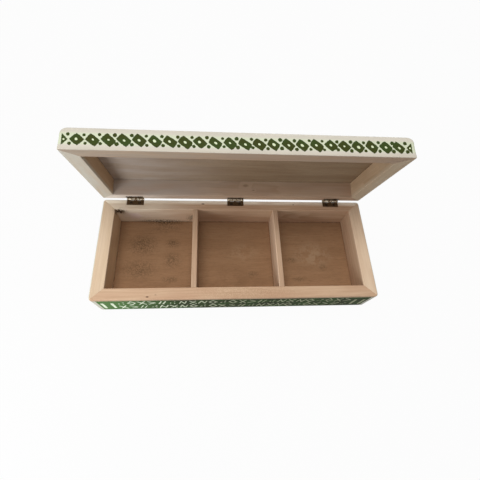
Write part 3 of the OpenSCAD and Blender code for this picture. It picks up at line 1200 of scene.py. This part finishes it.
@dataclass
class Board:
    """A board with its own coordinates: along it, in from its outer face, and up.

    mitre is how far its ends run back over its thickness, and level is the height from
    which its painted figures count.
    """

    name: str
    side: Side
    half_run: float
    half_reach: float
    outline: Array
    mitre: float = 0.0
    corner_radii: Array | float = 0.0
    spacing: float = COARSE
    recesses: tuple[Recess, ...] = ()
    end_ease: float = 0.12 * MM
    corner_steps: int = 12
    swung: bool = False
    level: float = 0.0
    figures: Callable[[Array, Array, float], tuple[Array, Array]] | None = None

    @property
    def plain_run(self) -> float:
        """Half the length that no mitre reaches."""
        return self.half_run - self.mitre - (COARSE if self.mitre else PLAIN)

    def stations(self) -> Array:
        """Places along the board, denser at its ends and doubled at the recesses' ends.

        Returns:
            The places, in order.
        """
        reach, radius = self.plain_run, float(np.max(self.corner_radii))
        plain = np.linspace(-reach, reach, math.ceil(2 * reach / self.spacing) + 1)
        parts = math.ceil((self.half_run - reach) / min(self.spacing, COARSE))
        ends = [np.linspace(reach, self.half_run, parts + 1), [self.half_run - self.end_ease]]
        if radius > 0:
            ends.append(self.half_run - np.linspace(radius, 0, self.corner_steps, endpoint=False))
        tips = np.concatenate(ends)
        cuts = [r.middle + s * (r.half_length + e)
                for r in self.recesses for s in (-1, 1) for e in (0.0, NUDGE)]
        return np.unique(np.round(np.concatenate([plain, tips, -tips, cuts]), 8))

    def surface(self) -> tuple[Array, Array]:
        """Works out the board on the closed box.

        A point (depth, height) of the outline at station s lies at x = s up to the mitre's
        start L, and beyond it at x = L + (s - L) (E - L) / (half_run - L), with the mitre at
        E = half_run - depth * mitre / thickness. The frame's corner is then bent round.

        Returns:
            Points (stations, outline, 3) and board coordinates in metres, of that shape.
        """
        s = self.stations()[:, None]
        outline = np.broadcast_to(self.outline, (len(s), *self.outline.shape)).copy()
        outline[0] = outline[-1] = self.outline - outline_normals(self.outline) * self.end_ease
        depth, height = outline[..., 0], outline[..., 1]
        ends_at = self.half_run - depth * self.mitre / self.outline[:, 0].max()
        start = self.plain_run
        past = np.abs(s) - start
        along = np.where(past > 0, start + past * (ends_at - start) / (self.half_run - start),
                         np.abs(s)) * np.sign(s)
        for recess in self.recesses:
            height = recess.cut(s, depth, height)
        board = np.stack([along, depth, height], -1)
        run_in, bent = rounded_corner(self.half_run - np.abs(along), depth,
                                      np.broadcast_to(self.corner_radii, depth.shape))
        along = np.sign(along) * (self.half_run - run_in)
        return self.side.placed(along, self.half_reach - bent, height), board

    def build(self) -> bpy.types.Object:
        """Makes the board's object, with its coordinates and painted figures in the mesh.

        Returns:
            The object, at rest.
        """
        points, board = self.surface()
        measured = board / MM
        dark = light = np.full(points.shape[:2], FAR_MM)
        if self.figures:
            dark, light = self.figures(
                measured[..., 0], measured[..., 2] - self.level / MM, self.half_run / MM)
        made = tube_mesh(self.name, SWING.opened(points) if self.swung else points,
                         {"board": measured, "ground": dark, "stroke": light})
        if self.recesses:
            weld(made.data, TINY)
        return made


# ------------------------------------------------------------------------- sub-assemblies


ROSY_WOOD = (tint(209, 179, 150), tint(200, 166, 138), tint(158, 122, 93))
STRAW_WOOD = (tint(216, 190, 158), tint(206, 178, 145), tint(162, 130, 98))
DIVIDER_WOOD = (tint(200, 172, 146), tint(191, 160, 134), tint(150, 117, 90))
MATT = 0.04              # specular level of bare wood and of the paint

# On the body the green is brighter and the strokes whiter at the left end: painted light from the left.
BODY_PAINT = Paintwork(
    coat=tint(216, 213, 198), shade=tint(200, 197, 183),
    ground=tint(38, 45, 16), ground_thin=tint(49, 72, 29), ground_fresh=tint(96, 134, 76),
    stroke=tint(244, 252, 226), stroke_dry=tint(170, 173, 142), border=0.2, fresh=0.75)
LID_PAINT = Paintwork(
    coat=tint(210, 204, 191), shade=tint(202, 197, 184),
    ground=tint(60, 66, 29), ground_thin=tint(58, 73, 34), ground_fresh=tint(58, 73, 34),
    stroke=tint(216, 226, 190), stroke_dry=tint(216, 226, 190),
    border=0.35, climb=0.6, thin=0.84, bloom_low=2.4, bloom_high=11.0)


def timber(pith: tuple[float, float], seed: float,
           shades: tuple[Colour, Colour, Colour] = ROSY_WOOD, **settings: object) -> Timber:
    """The box's softwood with one board's own pith, seed, shades and further settings."""
    return Timber(*shades, pith, seed, **settings)


@dataclass
class MitredFrame:
    """Four boards mitred into a frame: what the body and the lid have in common.

    piece and node name its boards and their CAD nodes, with {} for the side.
    """

    width: float
    depth: float
    low: float
    high: float
    front_t: float
    side_t: float
    swung: bool
    body: str
    slot: str
    piece: str
    node: str
    paint: Paintwork
    corner_r: float = 3.0 * MM
    ease: float = 0.4 * MM

    @classmethod
    def of_nodes(cls, node: str, swung: bool, **settings: object) -> "MitredFrame":
        """Takes the sizes from the CAD nodes, as they lie on the closed box.

        Args:
            node: Names of the nodes, with {} for the side.
            swung: Whether the lid carries them.
            settings: The other fields.

        Returns:
            The frame.
        """
        front, right, back, left = (corners(node.format(s.name.lower()), swung) for s in Side)
        return cls(width=right[1][0] - left[0][0], depth=back[1][1] - front[0][1],
                   low=front[0][2], high=front[1][2], front_t=front[1][1] - front[0][1],
                   side_t=left[1][0] - left[0][0], node=node, swung=swung, **settings)

    @property
    def inner(self) -> tuple[float, float]:
        """Half the width and half the depth between the boards."""
        return self.width / 2 - self.side_t, self.depth / 2 - self.front_t

    def radii(self, outline: Array) -> Array | float:
        """Corner radius of each outline point."""
        return self.corner_r

    def recesses(self, half: str) -> tuple[Recess, ...]:
        """The recesses for the three hinge leaves, as deep as the left leaf asks.

        Args:
            half: Which half of the hinges lies on this frame, body or lid.

        Returns:
            The recesses.
        """
        boxes = [corners(f"{place}_hinge_{half}_leaf", self.swung) for place in HINGE_PLACES]
        depth = self.depth / 2 - boxes[0][0][1] + PLAY
        floor = boxes[0][1 if self.swung else 0][2]
        return tuple(Recess(-(low[0] + high[0]) / 2, (high[0] - low[0]) / 2 + PLAY, depth, floor,
                            not self.swung) for low, high in boxes)

    def fit(self, side: Side, outline: Array, wood: Timber,
            changes: dict[str, float] | None = None, **settings: object) -> None:
        """Builds one of the boards, dresses it and puts it in the place of its CAD node.

        Args:
            side: Where it stands.
            outline: Cross-section for the front board; on a side board it is stretched in
                depth, so that the mitres meet.
            wood: Its timber.
            changes: Values of the paintwork that differ on this board.
            settings: Other fields of the board.
        """
        name, radii = self.piece.format(side.name.lower()), self.radii(outline)
        run, reach, mitre = self.width, self.depth, self.side_t
        if side in (Side.LEFT, Side.RIGHT):
            run, reach, mitre = self.depth, self.width, self.front_t
            outline = outline * (self.side_t / self.front_t, 1.0)
        made = Board(name, side, run / 2, reach / 2, outline, mitre, radii, swung=self.swung,
                     level=self.low, **settings).build()
        bench = Bench(name)
        place = bench.attribute("board", "Vector")
        paint = replace(self.paint, **(changes or {}))
        finish = paint.lay(bench, place, wood.lay(bench, place))
        settle(made, bench.finish(finish, MATT), self.body,
               self.node.format(side.name.lower()))


@dataclass
class BoxBody(MitredFrame):
    """The body: four grooved boards, the base panel and two dividers."""

    rim_r: float = 1.1 * MM
    foot_r: float = 1.5 * MM
    groove: float = 4.0 * MM
    divider_r: float = 0.35 * MM
    divider_step: float = 1.5 * MM
    dividers: tuple[str, str] = ("divider_left", "divider_right")

    @classmethod
    def of_frame(cls) -> "BoxBody":
        """Takes the body's sizes from the CAD nodes."""
        return cls.of_nodes("{}_wall", False, body="box", slot="body_board",
                            piece="{}_board", paint=BODY_PAINT)

    def outline(self, fine: float, recess_depth: float | None = None) -> Array:
        """Cross-section of a body board, grooved for the base panel.

        Args:
            fine: Longest stretch on the painted face.
            recess_depth: Depth of the hinge recesses, where the board has them.

        Returns:
            The outline.
        """
        base_low, base_high = (corner[2] for corner in corners("base_panel"))
        deep, over = self.front_t - self.groove, base_high + PLAY
        split = [] if recess_depth is None else [
            Corner(recess_depth, self.high, step=NUDGE),
            Corner(recess_depth + NUDGE, self.high, step=PLAIN)]
        return eased_outline([
            Corner(0, self.low, self.foot_r, fine), Corner(0, self.high, self.rim_r, PLAIN),
            *split, Corner(self.front_t, self.high, self.ease), Corner(self.front_t, over),
            Corner(deep, over), Corner(deep, base_low), Corner(self.front_t, base_low),
            Corner(self.front_t, self.low, self.ease)])

    def build(self) -> None:
        """Builds and dresses the boards, the dividers, the base panel and the glue."""
        fine, recesses = self.outline(FINE), self.recesses("body")
        painted = {"spacing": FINE, "figures": FigureBand().figures}
        self.fit(Side.FRONT, fine,
                 timber((-70, 4), 11, ring=3.1, contrast=0.16,
                        knots=(Knot(-83.3, 2.6, 36, 0.7, 0.9), Knot(-76, 4.4, 36, 0.45, 0.6)),
                        marks=(DustAndPaintedLight((8, 5, 36), (75, 12, 8), 0.36, tint(152, 114, 84)),)),
                 {"bare": 32.8}, **painted)
        # Painted light on the back board: a film that grows towards its left end, a pale glow along its
        # rear edge where light comes through the gap below the lid, and a pale patch on its inner face
        # in the left compartment.
        self.fit(Side.BACK, self.outline(COARSE, recesses[0].depth),
                 timber((-58, 20), 240,
                        marks=(WashAndPaintedLight(20, 110, 0.0, 0.9, tint(226, 210, 188)),
                               WashAndPaintedLight(-130, 130, 0.8, 1.0, tint(255, 244, 226), sink=(2.2, 6.0)),
                               DustAndPaintedLight((104, 11, 21), (20, 5, 13), 0.8, tint(232, 212, 206), 0.1),
                               DustAndPaintedLight((117, 11, 31), (8, 4, 7), 0.9),
                               DustAndPaintedLight((49, 11, 18), (5, 4, 10), 0.5),
                               DustAndPaintedLight((78, 11, 11), (32, 4, 5), 1.0)),
                        knots=(Knot(34, 4.2, 36, 0.8, 0.8), Knot(-62, 4.0, 36, 0.5, 0.7))),
                 {"border": 0.7}, recesses=recesses)
        # Painted light: a pale film on the left board's rim, which the light from the left falls on.
        self.fit(Side.LEFT, fine,
                 timber((-90, 30), 470, STRAW_WOOD, ring=3.4, contrast=0.16,
                        marks=(WashAndPaintedLight(-60, 60, 0.3, 0.25, tint(226, 210, 192), (35.0, 33.0)),
                               DustAndPaintedLight((-41, 12.5, 32), (6, 4, 7), 0.9))),
                 {"border": 1.0}, **painted)
        self.fit(Side.RIGHT, fine,
                 timber((70, -20), 690, contrast=0.2,
                        marks=(WashAndPaintedLight(-60, 60, 0.55, 0.35, tint(230, 208, 182), (35.0, 33.0)),)),
                 {"border": 0.8}, **painted)
        for k, node in enumerate(self.dividers):
            self.divider(k, node)
        self.base()
        self.glue()

    def divider(self, k: int, node: str) -> None:
        """Builds a divider, with a fibrous, lightly eased upper edge.

        Args:
            k: 0 for the left one and 1 for the right one, whose left face gets painted light.
            node: Its CAD node.
        """
        low, high = corners(node)
        thick = high[0] - low[0]
        outline = eased_outline([
            Corner(0, low[2]), Corner(0, high[2], self.divider_r, 2 * self.divider_r),
            Corner(thick, high[2], self.divider_r), Corner(thick, low[2])])
        board = Board(f"{node}_board", Side.RIGHT, (high[1] - low[1]) / 2, high[0], outline,
                      spacing=self.divider_step)
        bench = Bench(board.name)
        # Painted light: a pale film on the right divider's left face, which faces the light from the
        # left.
        lit = (WashAndPaintedLight(-60, 60, 0.5, 0.5, tint(236, 208, 180), sink=(4.8, 4.2)),) if k else ()
        wood = timber((-40 + 65 * k, 18), 900 + 57 * k, DIVIDER_WOOD, contrast=0.26, ring=1.9,
                      marks=lit)
        finish = wood.lay(bench, bench.attribute("board", "Vector"))
        settle(board.build(), bench.finish(finish, MATT), self.body, node)

    def base(self) -> None:
        """Dresses the base panel in plywood, its grain from left to right."""
        top = corners("base_panel")[1][2] / MM
        # Patches on the floor: dust, and painted shade in the darker patch at the front of the middle
        # compartment, where the front board shades the floor.
        worn, scuffed = tint(112, 82, 58), tint(172, 144, 114)
        dust_and_painted_light = [DustAndPaintedLight((x, y, top), (a, b, 4), strength, *look) for x, y, a, b, strength, *look in (
            (-75, 41.5, 33, 5, 1.0), (-74, 35, 28, 11, 0.4), (-97, 13, 22, 17, 0.62),
            (-66, 15, 11, 7, 0.66), (-66, -4, 13, 14, 0.55), (-99, -14, 26, 16, 0.48),
            (-67, -25, 13, 5, 0.45), (0, -28, 44, 18, 0.3, worn, 0.05),
            (7, 4, 26, 16, 0.3, scuffed, 0.1), (18, -20, 10, 5, 0.4),
            (84, 1, 30, 20, 0.4, tint(176, 150, 122), 0.1), (60, -5, 9, 5, 0.5),
            (94, -13, 6, 6, 0.45), (67, -26, 10, 4, 0.45))]
        half, reach = self.inner
        sides = sorted(corner[0] for node in self.dividers for corner in corners(node))
        edges = [-half, *sides, half]
        # Painted shade along the joints where the floor meets the boards and the dividers.
        seams_and_shade = [SeamAndShade((a / MM, -reach / MM), (b / MM, reach / MM))
                 for a, b in zip(edges[::2], edges[1::2])]
        bench = Bench("base_plywood")
        # The plywood is browner than the boards, and darker still as painted shade for the dim inside
        # of the compartments.
        ply = Ply(tint(156, 121, 91), tint(147, 113, 84), tint(107, 80, 56), 33, (*dust_and_painted_light, *seams_and_shade))
        dress(frame["nodes"]["base_panel"], bench.finish(ply.lay(bench, bench.in_mm()), MATT))

    def glue(self) -> None:
        """Lays the dried glue that was left in the corners of the left compartment.

        Each path is in millimetres from the back board's inner face and the place start.
        """
        half, wall = self.inner
        for name, colour, radius, start, path in (
            ("corner_glue", tint(70, 54, 38), 0.85, -half,
             ((0.3, -0.2, 34.8), (1.6, -0.1, 30.2), (3.4, -0.2, 34.5), (4.6, -0.1, 28.6),
              (6.4, -0.2, 33.2), (7.8, -0.1, 30.8))),
            ("divider_glue", tint(178, 160, 138), 0.55, corners(self.dividers[0])[0][0],
             ((-5.4, -0.1, 12.5), (-3.6, -0.3, 15.5), (-1.6, -0.2, 19.5), (-0.9, -0.5, 24.5),
              (-2.6, -0.2, 21.0), (-2.9, -0.1, 16.0))),
        ):
            bench = Bench(name)
            cloud = bench.noise(bench.in_mm(), 1.2, 3.0, 0.6)
            tone = bench.mix(bench.ease(cloud, 0.35, 0.65), colour, tint(112, 96, 78))
            layer = Layer(tone, bench.ease(cloud, 0.2, 0.8, 0.45, 0.7), bench.times(cloud, 0.06))
            made = bead(name, np.array(path) * MM + (start, wall, 0), radius * MM)
            settle(made, bench.finish(layer, MATT), self.body)


def bead(name: str, path: Array, radius: float, steps: int = 12, around: int = 10) -> bpy.types.Object:
    """Lumpy bead of dried glue along a path.

    The path is a Catmull-Rom curve through its points. Round it, at angle a, lies the ring
    c(t) + r(t) (n cos a + b sin a), where n is an outward direction made square to that of
    the path, b their cross product and r(t) = radius (0.35 + 0.65 sin(pi t)) (1 + lumps).

    Args:
        name: Name of the piece.
        path: Array (n, 3) of points.
        radius: Radius at the middle.
        steps: Parts of the curve between two points.
        around: Points round it.

    Returns:
        The bead.
    """
    held = np.concatenate([path[:1], path, path[-1:]])
    t = np.linspace(0, 1, steps, endpoint=False)[:, None]
    spans = [0.5 * (2 * b + (c - a) * t + (2 * a - 5 * b + 4 * c - d) * t ** 2
                    + (3 * b - a - 3 * c + d) * t ** 3)
             for a, b, c, d in zip(held, held[1:], held[2:], held[3:])]
    centre = np.concatenate(spans + [path[-1:]])
    along = np.gradient(centre, axis=0)
    along /= np.linalg.norm(along, axis=1, keepdims=True)
    out = np.array([0.13, 1.0, 0.21])
    normal = out - (along @ out)[:, None] * along
    normal /= np.linalg.norm(normal, axis=1, keepdims=True)
    across = np.cross(along, normal)
    share = np.linspace(0, 1, len(centre))
    lumps = 1 + 0.22 * np.sin(share * 43) * np.sin(share * 17 + 1)
    size = (radius * (0.35 + 0.65 * np.sin(np.pi * share)) * lumps)[:, None, None]
    a = np.linspace(0, 2 * np.pi, around, endpoint=False)[None, :, None]
    ring = normal[:, None] * np.cos(a) + across[:, None] * np.sin(a)
    return tube_mesh(name, centre[:, None] + size * ring)


@dataclass
class BoxLid(MitredFrame):
    """The lid: four rabbeted rails and the panel let into them."""

    edge_r: float = 7.0 * MM
    rim_r: float = 0.7 * MM
    tip_r: float = 1.0 * MM
    crisp: float = 9.0 * MM
    ledge: float = 3.0 * MM
    top_step: float = 0.4 * MM
    edge_growth: float = 0.7
    paint_from: tuple[float, float] = (0.6, 0.3)

    @classmethod
    def of_frame(cls) -> "BoxLid":
        """Takes the lid's sizes from the CAD nodes, and starts its paint over the rim.

        Returns:
            The lid.
        """
        lid = cls.of_nodes("lid_{}_rail", True, body="lid", slot="lid_board",
                           piece="lid_{}_board", paint=LID_PAINT)
        return replace(lid, paint=replace(LID_PAINT, base=lid.low / MM + 1))

    def outline(self, fine: float, recess_depth: float | None = None) -> Array:
        """Cross-section of a rail: round upper edge, rabbet, and a crisp rim.

        Args:
            fine: Longest stretch on the painted face.
            recess_depth: Depth of the hinge recesses, where the rail has them.

        Returns:
            The outline.
        """
        panel_low = corners("lid_panel", True)[0][2]
        step_in = self.front_t - self.ledge
        split = [] if recess_depth is None else [
            Corner(recess_depth + NUDGE, self.low, step=NUDGE),
            Corner(recess_depth, self.low, step=PLAIN)]
        return eased_outline([
            Corner(0, self.low, self.rim_r, fine), Corner(0, self.high, self.edge_r, self.top_step),
            Corner(step_in, self.high), Corner(step_in, panel_low),
            Corner(self.front_t, panel_low),
            Corner(self.front_t, self.low, self.ease, PLAIN), *split])

    def radii(self, outline: Array) -> Array:
        """Corner radius of each outline point.

        It grows from the crisp rim up the face, and again over the rounded upper edge.

        Args:
            outline: The outline.

        Returns:
            The radii.
        """
        face = np.clip((outline[:, 1] - self.low) / self.crisp, 0, 1)
        on_edge = outline[:, 1] > self.high - self.edge_r
        inward = np.minimum(outline[:, 0], self.edge_r) * on_edge
        return self.tip_r + (self.corner_r - self.tip_r) * face + self.edge_growth * inward

    def build(self) -> None:
        """Builds and dresses the rails and the panel."""
        fine, recesses = self.outline(FINE), self.recesses("lid")
        painted = {"spacing": FINE, "figures": DiamondBorder().figures}
        rim = (self.low / MM + 1, self.low / MM + 4)
        # Painted light: a grey film, strongest at the left end of the front rail, for the cool light
        # from the left.
        self.fit(Side.FRONT, fine,
                 timber((60, 70), 1300, marks=(WashAndPaintedLight(-120, 10, 0.6, 0.38, tint(178, 169, 156)),)),
                 **painted)
        # Painted light: both films on the back rail grow towards its left end, the paler one on its rim
        # face beside the gap at the back of the box.
        self.fit(Side.BACK, self.outline(COARSE, recesses[0].depth),
                 timber((66, 48), 1520,
                        marks=(WashAndPaintedLight(-30, 115, 0.15, 0.65),
                               WashAndPaintedLight(62, 118, 0.0, 0.8, tint(250, 240, 230), sink=(8, 10.5))),
                        knots=(Knot(-10, 11, 48, 1.4, 0.3), Knot(-18, 11, 43, 0.7, 0.35))),
                 {"border": 0.9}, recesses=recesses)
        # Painted light: a pale film on the left rail's rim face, which the light from the left falls
        # on.
        self.fit(Side.LEFT, fine,
                 timber((-60, 30), 1740, STRAW_WOOD, ring=3.2, contrast=0.22,
                        marks=(WashAndPaintedLight(-50, 50, 0.8, 0.9, tint(213, 206, 192), rim),)), **painted)
        self.fit(Side.RIGHT, fine,
                 timber((-75, 60), 1960, STRAW_WOOD,
                        marks=(WashAndPaintedLight(-50, 50, 0.6, 0.6, tint(212, 196, 172), rim),)), **painted)
        self.panel()

    def panel(self) -> None:
        """Dresses the lid panel: plywood below, the coat on top, paint_from under its face."""
        bench = Bench("lid_panel_finish")
        sheet = bench.in_mm(SWING.opened(np.zeros(3), -1) / MM, (SWING.angle, 0, 0))
        half, reach = self.inner
        # Painted light: the panel's underside grows paler towards the left end, lit from the left; the
        # seam adds painted shade where the panel meets the rails.
        ply = Ply(tint(168, 146, 120), tint(154, 131, 106), tint(118, 96, 73), 71,
                  (WashAndPaintedLight(-118, 20, 0.62, 0.0, tint(186, 175, 167)),
                   SeamAndShade((-half / MM, -reach / MM), (half / MM, reach / MM))))
        top = corners("lid_panel", True)[1][2] / MM
        cover = bench.ease(bench.split(sheet)[2], *(top - down for down in self.paint_from))
        layer = ply.lay(bench, sheet).under(bench, cover, self.paint.plain_coat(bench, sheet))
        dress(frame["nodes"]["lid_panel"], bench.finish(layer, MATT))


# ------------------------------------------------------------------------- hinges


@dataclass(frozen=True)
class AgedMetal:
    """Plated metal gone dark, with wear and a painted highlight on the knuckles and rubbed patches.

    The bright share is knuckle_rub at the first of the distances knuckle from the
    hinge line and 0 at the second, a painted highlight along the barrel over its wear, and
    noise n adds patches_by n - patches_from. The higher worn, the more of
    it shows.
    """

    dark: Colour
    bright: Colour
    worn: float
    rough: float
    knuckle: tuple[float, float] = (1.55, 1.8)
    knuckle_rub: float = 0.42
    patches_by: float = 2.4
    patches_from: float = 1.12
    gloss: float = 0.5
    metallic: float = 0.6

    def material(self, name: str) -> bpy.types.Material:
        """Builds the metal.

        Args:
            name: Name of the material.

        Returns:
            The material.
        """
        bench = Bench(name)
        place = bench.in_mm()
        cloud = bench.noise(place, 0.75, 4.0, 0.65)
        speck = bench.noise(place, 3.4, 3.0, 0.7)
        away = bench.away(place, (0, SWING.y / MM, SWING.z / MM), (math.inf, 1, 1))
        # Painted highlight along the knuckles, where the barrel catches the light, over rubbed wear.
        wear_and_glint = bench.math("ADD", bench.ease(away, *self.knuckle, self.knuckle_rub, 0.0),
                         bench.times_plus(cloud, self.patches_by, -self.patches_from))
        wear_and_glint = bench.ease(wear_and_glint, 0.55 - self.worn, 0.95 - self.worn)
        layer = Layer(bench.mix(wear_and_glint, self.dark, self.bright),
                      bench.ease(speck, 0.2, 0.8, self.rough - 0.1, self.rough + 0.14),
                      bench.times(speck, 0.02))
        return bench.finish(layer, self.gloss, Metallic=self.metallic)


@dataclass
class HingeSet:
    """The three butt hinges: two leaves, a pin and four screws each."""

    ease: float = 0.1 * MM

    def build(self) -> None:
        """Builds the eased leaves and dresses the pins and screws."""
        # The bright second colour of each metal is wear, and on the leaves' knuckles also a painted
        # highlight.
        bronze = AgedMetal(tint(102, 80, 56), tint(232, 220, 198), 0.15, 0.3).material("bronze")
        pin = AgedMetal(tint(90, 76, 60), tint(228, 214, 186), 0.34, 0.3).material("pin_metal")
        screw = AgedMetal(tint(64, 50, 36), tint(160, 136, 96), 0.3, 0.4).material("screw_metal")
        for place in HINGE_PLACES:
            for half, body in (("body", "box"), ("lid", "lid")):
                node = f"{place}_hinge_{half}_leaf"
                made = softened_copy(node, f"{place}_{half}_leaf", self.ease)
                settle(made, bronze, body, node)
                dress(frame["nodes"][f"{place}_hinge_{half}_screws"], screw)
            dress(frame["nodes"][f"{place}_hinge_pin"], pin)


# ------------------------------------------------------------------------- studio


@dataclass(frozen=True)
class Lamp:
    """A square soft lamp that looks at the box."""

    name: str
    place: tuple[float, float, float]
    size: float
    power: float
    colour: tuple[float, float, float] = WHITE[:3]
    aim: tuple[float, float, float] = (0.0, 0.0, 0.05)

    def hang(self) -> None:
        """Puts the lamp into the scene."""
        lamp = bpy.data.lights.new(self.name, "AREA")
        lamp.shape, lamp.size, lamp.energy = "SQUARE", self.size, self.power
        lamp.color = self.colour
        made = linked(self.name, lamp)
        made.location, made.rotation_mode = self.place, "QUATERNION"
        look = Vector(self.aim) - Vector(self.place)
        made.rotation_quaternion = look.to_track_quat("-Z", "Y")


@dataclass(frozen=True)
class Studio:
    """Floor, soft lights and the camera of the photograph."""

    eye: tuple[float, float, float] = (-0.026106, -0.129832, 0.332244)
    elevation: float = 64.7271
    yaw: float = 12.1252
    roll: float = 11.0206
    lens: float = 24.530
    ambient: float = 0.3
    backdrop: float = 0.96
    clip: tuple[float, float] = (0.01, 20.0)
    half_floor: float = 3.0
    floor_lines: int = 9
    paper_grain: float = 60.0
    paper: tuple[Colour, Colour] = ((0.42, 0.42, 0.42, 1), (0.46, 0.46, 0.46, 1))
    lamps: tuple[Lamp, ...] = (
        Lamp("overhead", (-0.16, 0.07, 1.08), 0.7, 8.6, (1.0, 0.985, 0.965)),
        Lamp("window", (-0.31, -0.24, 0.12), 0.18, 0.72, (0.94, 0.975, 1.0)),
        Lamp("rear", (0.25, 0.9, 0.04), 0.2, 1.6),
    )

    def build(self) -> None:
        """Sets up the whole stage."""
        self.floor()
        self.world()
        for lamp in self.lamps:
            lamp.hang()
        self.camera()
        bpy.context.scene.view_settings.view_transform = "Standard"

    @staticmethod
    def seen(bench: Bench) -> Socket:
        """Which rays show the plain white, because the eye follows them.

        Args:
            bench: Bench of the floor or the world.

        Returns:
            1 for rays that are straight, mirrored or let through, else 0.
        """
        rays = bench.node("LightPath").outputs
        camera, glossy, through = (rays[f"Is {k} Ray"] for k in ("Camera", "Glossy", "Transmission"))
        return bench.math("MAXIMUM", bench.math("MAXIMUM", camera, glossy), through)

    def floor(self) -> None:
        """Makes the pale floor, a flat grid."""
        line = np.linspace(-self.half_floor, self.half_floor, self.floor_lines)
        x, y = np.meshgrid(line, line)
        points = np.stack([x, y, np.zeros_like(x)], -1).reshape(-1, 3)
        index = np.arange(x.size).reshape(x.shape)
        quads = np.stack([index[:-1, :-1], index[:-1, 1:], index[1:, 1:], index[1:, :-1]], -1)
        mesh = bpy.data.meshes.new("floor")
        mesh.from_pydata(points.tolist(), [], quads.reshape(-1, 4).tolist())
        bench = Bench("floor_paper")
        grain = bench.noise(bench.node("TexCoord").outputs["Object"], self.paper_grain)
        matt = bench.node("BsdfDiffuse", {"Color": bench.mix(grain, *self.paper)}).outputs[0]
        glow = bench.node("Emission", {"Color": WHITE, "Strength": 1.0}).outputs[0]
        share = bench.times(self.seen(bench), self.backdrop)
        both = bench.node("MixShader", {0: share, 1: matt, 2: glow}).outputs[0]
        bench.node("OutputMaterial", {"Surface": both})
        made = linked("floor", mesh)
        dress(made, bench.material)

    def world(self) -> None:
        """White where it is seen, soft and plain where it only lights."""
        world = bpy.context.scene.world = bpy.data.worlds.new("studio")
        world.use_nodes = True
        bench = Bench("studio", world.node_tree)
        dim, white = (bench.node("Background", {"Color": WHITE, "Strength": strength}).outputs[0]
                      for strength in (self.ambient, 1.0))
        both = bench.node("MixShader", {0: self.seen(bench), 1: dim, 2: white}).outputs[0]
        bench.node("OutputWorld", {"Surface": both})

    def camera(self) -> None:
        """Places the camera by its elevation, yaw and roll.

        forward = (sin y cos e, cos y cos e, -sin e), level right = (cos y, -sin y, 0), and
        the picture is then rolled about the forward direction.
        """
        e, y, r = (math.radians(a) for a in (self.elevation, self.yaw, self.roll))
        forward = Vector((math.sin(y) * math.cos(e), math.cos(y) * math.cos(e), -math.sin(e)))
        level = Vector((math.cos(y), -math.sin(y), 0))
        upright = level.cross(forward)
        right = math.cos(r) * level + math.sin(r) * upright
        up = -math.sin(r) * level + math.cos(r) * upright
        data = bpy.data.cameras.new("camera")
        data.sensor_fit, data.sensor_width, data.lens = "HORIZONTAL", SENSOR_MM, self.lens
        data.clip_start, data.clip_end = self.clip
        made = bpy.context.scene.camera = linked("camera", data)
        axes = zip(right, up, -forward, self.eye)
        made.matrix_world = Matrix((*axes, (0, 0, 0, 1)))


# ------------------------------------------------------------------------- main


def main() -> None:
    """Builds the box's sub-assemblies and the studio."""
    logging.basicConfig(level=logging.INFO, format="%(message)s")
    BoxBody.of_frame().build()
    BoxLid.of_frame().build()
    HingeSet().build()
    Studio().build()


if __name__ == "__main__":
    main()
